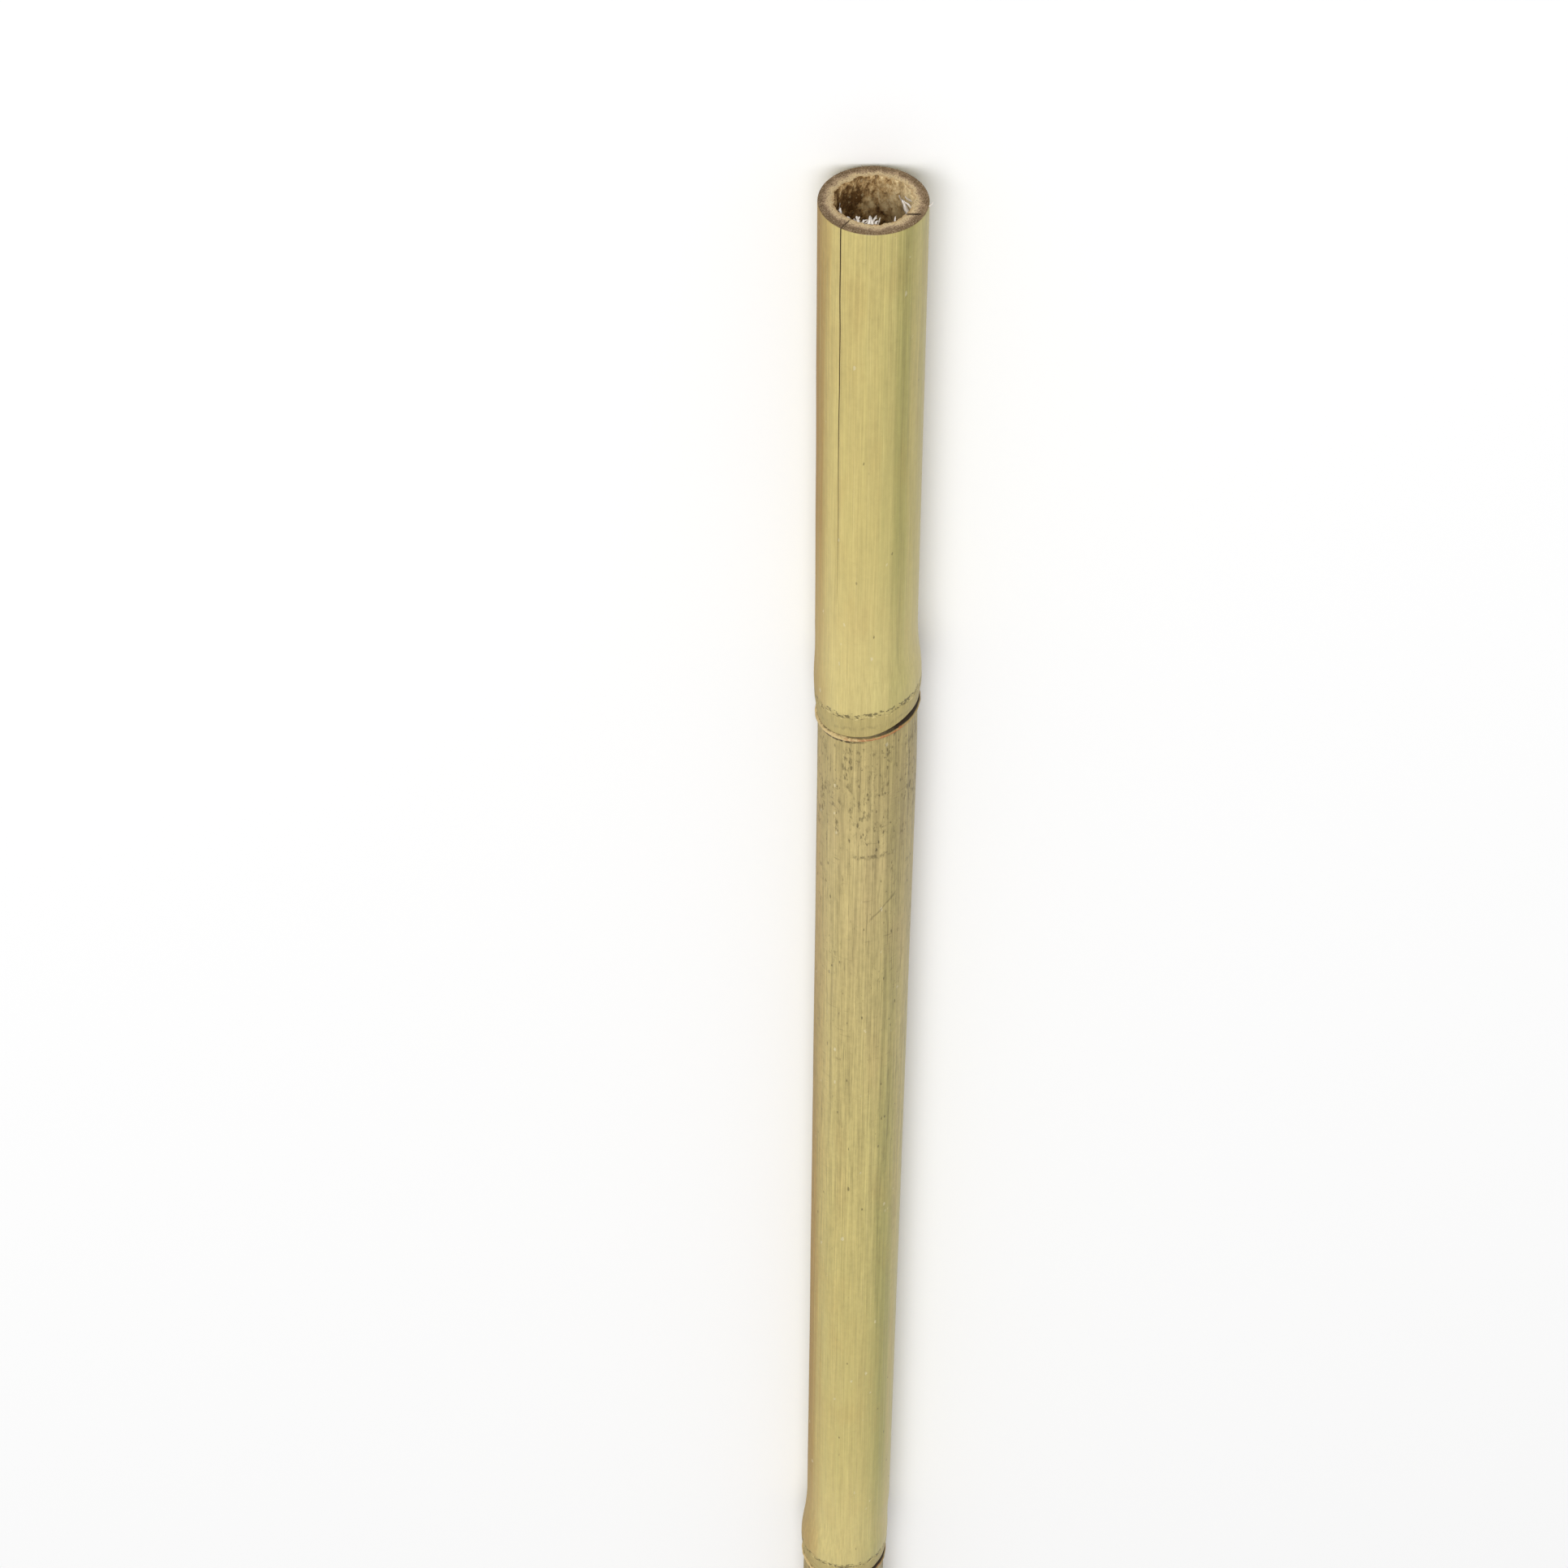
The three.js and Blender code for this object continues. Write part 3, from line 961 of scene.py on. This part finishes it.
class CANE_OT_build(bpy.types.Operator):
    """Builds the cane itself, in place of the plain one"""

    bl_idname = "cane.build"
    bl_label = "Build the Cane"

    def execute(self, context):
        sizes = context.scene.cane_sizes
        colours = context.scene.cane_colours
        blank = cane_blank(sizes.length / MM, sizes.split_length / MM)
        mesh = cane_shape().make(blank, {
            'Length': sizes.length,
            'Top radius': sizes.top_radius,
            'Butt radius': sizes.butt_radius,
            'Ridge rise': sizes.ridge_rise,
            'Lip rise': sizes.lip_rise,
            'Groove depth': sizes.groove_depth,
            'Top bore': sizes.top_bore,
            'Butt bore': sizes.butt_bore,
            'Lumpiness': LUMPINESS * MM,
            'Saw marks': SAW_MARKS * MM,
            'Raggedness': RAGGEDNESS * MM,
            'Seed': float(sizes.seed),
            'Rind': rind_finish(colours),
            'Sawn end': sawn_finish(colours),
            'Lining': lining_finish(colours),
        })
        piece = stand('cane_length', mesh)
        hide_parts(CAD_NODE)
        return {'FINISHED'}


# Shreds at the sawn ends

# Torn fibres on a sawn end: how many, the size of one, how far it leans at most, how far its
# foot is sunk, its least and greatest scale, and how far in from the skin their band reaches
# and starts
FIBRE_COUNT = 520
FIBRE_LENGTH = 0.42
FIBRE_FOOT, FIBRE_TIP = 0.05, 0.008
FIBRE_LEAN = 0.9
FIBRE_SUNK = 0.04
FIBRE_SCALES = (0.4, 1.2)
FIBRE_BAND = (1.5, 0.25)

# Shreds in the upper end: where each starts and ends (depth, turn, radius), its width, its
# thickness, and how far it bows away from a straight run.
SHREDS = (
    ((2.2, -66, 7.9), (0.2, -92, 5.7), 0.95, 0.20, 0.4),
    ((1.2, -78, 7.9), (0.1, -86, 6.0), 0.60, 0.16, -0.4),
    ((1.5, -100, 7.9), (0.5, -104, 6.5), 0.50, 0.16, 0.3),
    ((4.5, -120, 7.8), (2.0, -128, 6.6), 0.60, 0.15, 0.4),
    ((5.0, 100, 7.8), (2.6, 108, 6.9), 0.50, 0.14, 0.4),
    ((0.3, -80, 10.9), (-0.5, -83, 11.9), 0.42, 0.16, 0.1),
)
SHRED_POINTS = 9
SHRED_FACING = Vector((1, 0.3, 0.2))

# Tufts of pith at the lip of the bore: middle turn, spread, how many strands, innermost radius
TUFTS = ((6, 7, 22, 5.5), (24, 6, 14, 6.2), (50, 8, 4, 7.2), (-32, 6, 3, 7.3))
TUFT_ROOT = 7.9
TUFT_OUTMOST = 7.2


def fibre_shape():
    """Short torn fibres that stand out of the outer band of a sawn end."""
    numbers = ('Face', 'Outwards', 'Centre height', 'Inner radius', 'Outer radius', 'Length')
    inputs = {label: 'Float' for label in numbers}
    inputs |= {'Count': 'Int', 'Seed': 'Int', 'Fibre': 'Material'}
    sheet = ShapeSheet('sawn_fibres', inputs)
    number, chance = sheet.number, sheet.chance
    row = sheet.add('GeometryNodeMeshLine', None, {'Count': sheet.given['Count']}).outputs[0]
    angle = chance(0.0, math.tau, 1)
    radius = chance(0.0, 1.0, 2) * (number('Outer radius') - number('Inner radius'))
    radius = radius + number('Inner radius')
    place = sheet.point(
        number('Face') - number('Outwards') * (FIBRE_SUNK * MM),
        sheet.math('SINE', angle) * radius,
        sheet.math('COSINE', angle) * radius + number('Centre height'),
    )
    scattered = sheet.add('GeometryNodeSetPosition', None, {'Geometry': row, 'Position': place})
    fibre = sheet.add('GeometryNodeMeshCone', {'fill_type': 'NGON'}, {
        'Vertices': 5, 'Side Segments': 1, 'Depth': sheet.given['Length'],
        'Radius Top': FIBRE_TIP * MM, 'Radius Bottom': FIBRE_FOOT * MM,
    })
    lean = chance(-FIBRE_LEAN, FIBRE_LEAN, 3)
    nod = number('Outwards') * (math.pi / 2) + chance(-FIBRE_LEAN, FIBRE_LEAN, 4)
    grown = sheet.add('GeometryNodeInstanceOnPoints', None, {
        'Points': scattered.outputs[0], 'Instance': fibre.outputs[0],
        'Rotation': sheet.point(lean, nod), 'Scale': chance(*FIBRE_SCALES, 5),
    }).outputs[0]
    sheet.finish(grown, ((sheet.given['Fibre'], None),))
    return sheet


def ribbon(path, widths, thickness, across):
    """A thin closed strip along a path of points in millimetres. Returns vertices and faces."""
    vertices, faces = [], []
    for number, (point, width) in enumerate(zip(path, widths)):
        before = path[max(number - 1, 0)]
        after = path[min(number + 1, len(path) - 1)]
        run = (after - before).normalized()
        side = (across - run * across.dot(run)).normalized()
        lift = run.cross(side)
        half, thin = side * width / 2, lift * thickness / 2
        vertices += [point - half, point - thin, point + half, point + thin]
        if number:
            first = 4 * (number - 1)
            for edge in range(4):
                one, other = first + edge, first + (edge + 1) % 4
                faces.append((one, other, other + 4, one + 4))
    end = 4 * (len(path) - 1)
    faces += [(3, 2, 1, 0), (end, end + 1, end + 2, end + 3)]
    return vertices, faces


def in_bore(depth, turn, radius, centre):
    """A point inside the upper end: millimetres deep, at a turn in degrees, off the middle."""
    angle = math.radians(turn)
    half = (CAD_HIGH.x - CAD_LOW.x) / 2 / MM
    return Vector((half - depth, radius * math.sin(angle), centre + radius * math.cos(angle)))


def tuft_strands(dice):
    """Strands of pith, in the same form as the shreds."""
    strands = []
    for middle, spread, count, inmost in TUFTS:
        for _ in range(count):
            turn = middle + dice.uniform(-spread, spread)
            root = (dice.uniform(0.1, 1.0), turn, TUFT_ROOT)
            tip_depth = dice.uniform(-0.4, 1.2)
            tip = (tip_depth, turn + dice.uniform(-13, 13), dice.uniform(inmost, TUFT_OUTMOST))
            bow = dice.uniform(-0.9, 0.9)
            strands.append((root, tip, dice.uniform(0.38, 0.85), dice.uniform(0.10, 0.2), bow))
    return strands


def pith_mesh(dice, centre):
    """Every shred and strand of pith, as one mesh. The centre is the bore's height."""
    vertices, faces = [], []
    for start, stop, width, thickness, bow in (*SHREDS, *tuft_strands(dice)):
        root, tip = in_bore(*start, centre), in_bore(*stop, centre)
        run = tip - root
        across = run.cross(SHRED_FACING).normalized()
        lift = run.cross(across).normalized()
        path, widths = [], []
        for step in range(SHRED_POINTS):
            share = step / (SHRED_POINTS - 1)
            sway = lift * (bow * math.sin(math.pi * share)) + across * dice.uniform(-0.06, 0.06)
            path.append(root + run * share + sway)
            widths.append(width * (1 - 0.55 * share**2) * dice.uniform(0.7, 1.2))
        strip, strip_faces = ribbon(path, widths, thickness, across)
        first = len(vertices)
        vertices += [vertex * MM for vertex in strip]
        faces += [[first + corner for corner in face] for face in strip_faces]
    mesh = bpy.data.meshes.new('pith')
    mesh.from_pydata(vertices, [], faces)
    mesh.shade_smooth()
    return mesh


class CANE_OT_shreds(bpy.types.Operator):
    """Adds torn fibres at both sawn ends and shreds of pith in the upper one"""

    bl_idname = "cane.shreds"
    bl_label = "Add the Shreds"

    def execute(self, context):
        sizes = context.scene.cane_sizes
        colours = context.scene.cane_colours
        pith = torn_finish('cane_pith', colours.pith_shade, colours.pith)
        fuzz = torn_finish('cane_torn_fibre', colours.sawn_rim, colours.sawn_fuzz)
        fibres = fibre_shape()
        deepest, shallowest = FIBRE_BAND
        ends = (
            ('upper', 1.0, sizes.top_radius, DRIFT_BY[0]),
            ('butt', -1.0, sizes.butt_radius, DRIFT_BY[-1]),
        )
        for number, (name, outwards, radius, drift) in enumerate(ends):
            blank = bpy.data.meshes.new(name + '_fibres')
            mesh = fibres.make(blank, {
                'Face': outwards * sizes.length / 2,
                'Outwards': outwards,
                'Centre height': radius + sizes.ridge_rise,
                'Inner radius': radius - deepest * MM,
                'Outer radius': radius - shallowest * MM,
                'Length': FIBRE_LENGTH * MM,
                'Count': FIBRE_COUNT,
                'Seed': sizes.seed + number,
                'Fibre': fuzz,
            })
            mesh.transform(Matrix.Translation((0, drift * MM, 0)))
            stand(name + '_sawn_fibres', mesh)

        centre = (sizes.top_radius + sizes.ridge_rise) / MM
        mesh = pith_mesh(random.Random(sizes.seed), centre)
        mesh.materials.append(pith)
        stand('pith_shreds', mesh)
        return {'FINISHED'}


# The stage

FLOOR_REACH = 40.0
LIGHT_PLACE = Vector((1.5, 0.5, 3.2))
LIGHT_TARGET = Vector((0.4, 0, 0))
LIGHT_SIZE = 2.4
CAMERA_PLACE = Vector((1.095, 0.0177, 0.6544))
CAMERA_SENSOR = 36.0
CAMERA_CLIP_START = 0.05


class StageSettings(bpy.types.PropertyGroup):
    """The floor, the light and the camera."""

    floor: paint("Floor", "Colour of the floor", 244, 244, 244)
    key_power: FloatProperty(
        name="Key light", description="Power of the large soft light",
        default=92.0, unit='POWER',
    )
    sky: FloatProperty(
        name="Sky", description="Strength of the light from all round", default=0.46
    )
    lens: FloatProperty(
        name="Lens", description="Focal length of the camera in millimetres", default=93.2
    )
    tilt: FloatProperty(
        name="Tilt", description="How far the camera looks down from level",
        default=math.radians(44.2), subtype='ANGLE',
    )


class CANE_OT_stage(bpy.types.Operator):
    """Adds the pale floor, the soft light and the camera"""

    bl_idname = "cane.stage"
    bl_label = "Set the Stage"

    def execute(self, context):
        scene = context.scene
        settings = scene.cane_stage
        self.add_floor(scene, settings)
        self.add_light(scene, settings)
        self.add_camera(scene, settings)
        return {'FINISHED'}

    def add_floor(self, scene, settings):
        mesh = bpy.data.meshes.new('floor')
        sides = ((-1, -1), (1, -1), (1, 1), (-1, 1))
        corners = [(x * FLOOR_REACH, y * FLOOR_REACH, 0) for x, y in sides]
        mesh.from_pydata(corners, [], [(0, 1, 2, 3)])
        mesh.materials.append(MaterialSheet('floor', opaque(settings.floor)).finish(0.9))
        floor = bpy.data.objects.new('floor', mesh)
        scene.collection.objects.link(floor)

    def add_light(self, scene, settings):
        world = bpy.data.worlds.new('studio')
        world.use_nodes = True
        world.node_tree.nodes.clear()
        sky = Sheet(world.node_tree)
        feeds = {'Color': (1.0, 1.0, 1.0, 1.0), 'Strength': settings.sky}
        background = sky.add('ShaderNodeBackground', None, feeds)
        sky.add('ShaderNodeOutputWorld', None, {'Surface': background.outputs[0]})
        scene.world = world
        lamp = bpy.data.lights.new('key', 'AREA')
        lamp.energy = settings.key_power
        lamp.shape = 'SQUARE'
        lamp.size = LIGHT_SIZE
        light = bpy.data.objects.new('key', lamp)
        light.location = LIGHT_PLACE
        light.rotation_euler = (LIGHT_TARGET - LIGHT_PLACE).to_track_quat('-Z', 'Y').to_euler()
        scene.collection.objects.link(light)

    def add_camera(self, scene, settings):
        camera = bpy.data.cameras.new('camera')
        camera.lens = settings.lens
        camera.sensor_width = CAMERA_SENSOR
        camera.clip_start = CAMERA_CLIP_START
        sine, cosine = math.sin(settings.tilt), math.cos(settings.tilt)
        right, upward, back = (0, -1, 0), (sine, 0, -cosine), (cosine, 0, sine)
        turn = Matrix((right, upward, back)).transposed().to_4x4()
        viewer = bpy.data.objects.new('camera', camera)
        viewer.matrix_world = Matrix.Translation(CAMERA_PLACE) @ turn
        scene.collection.objects.link(viewer)
        scene.camera = viewer
        scene.view_settings.view_transform = 'Standard'


class CANE_PT_panel(bpy.types.Panel):
    """Sizes, colours and buttons of the cane"""

    bl_idname = "CANE_PT_panel"
    bl_label = "Bamboo Cane"
    bl_space_type = 'VIEW_3D'
    bl_region_type = 'UI'
    bl_category = "Cane"

    def draw(self, context):
        scene = context.scene
        for group in (scene.cane_sizes, scene.cane_colours, scene.cane_stage):
            box = self.layout.box()
            for name in group.bl_rna.properties.keys():
                if name not in ('rna_type', 'name'):
                    box.prop(group, name)
        for operator in OPERATORS:
            self.layout.operator(operator.bl_idname)


OPERATORS = (CANE_OT_build, CANE_OT_shreds, CANE_OT_stage)
CLASSES = (CaneSizes, CaneColours, StageSettings, *OPERATORS, CANE_PT_panel)


def register():
    for cls in CLASSES:
        bpy.utils.register_class(cls)
    bpy.types.Scene.cane_sizes = PointerProperty(type=CaneSizes)
    bpy.types.Scene.cane_colours = PointerProperty(type=CaneColours)
    bpy.types.Scene.cane_stage = PointerProperty(type=StageSettings)


def unregister():
    del bpy.types.Scene.cane_stage
    del bpy.types.Scene.cane_colours
    del bpy.types.Scene.cane_sizes
    for cls in reversed(CLASSES):
        bpy.utils.unregister_class(cls)


def main():
    register()
    bpy.ops.cane.build()
    bpy.ops.cane.shreds()
    bpy.ops.cane.stage()


if __name__ == "__main__":
    main()
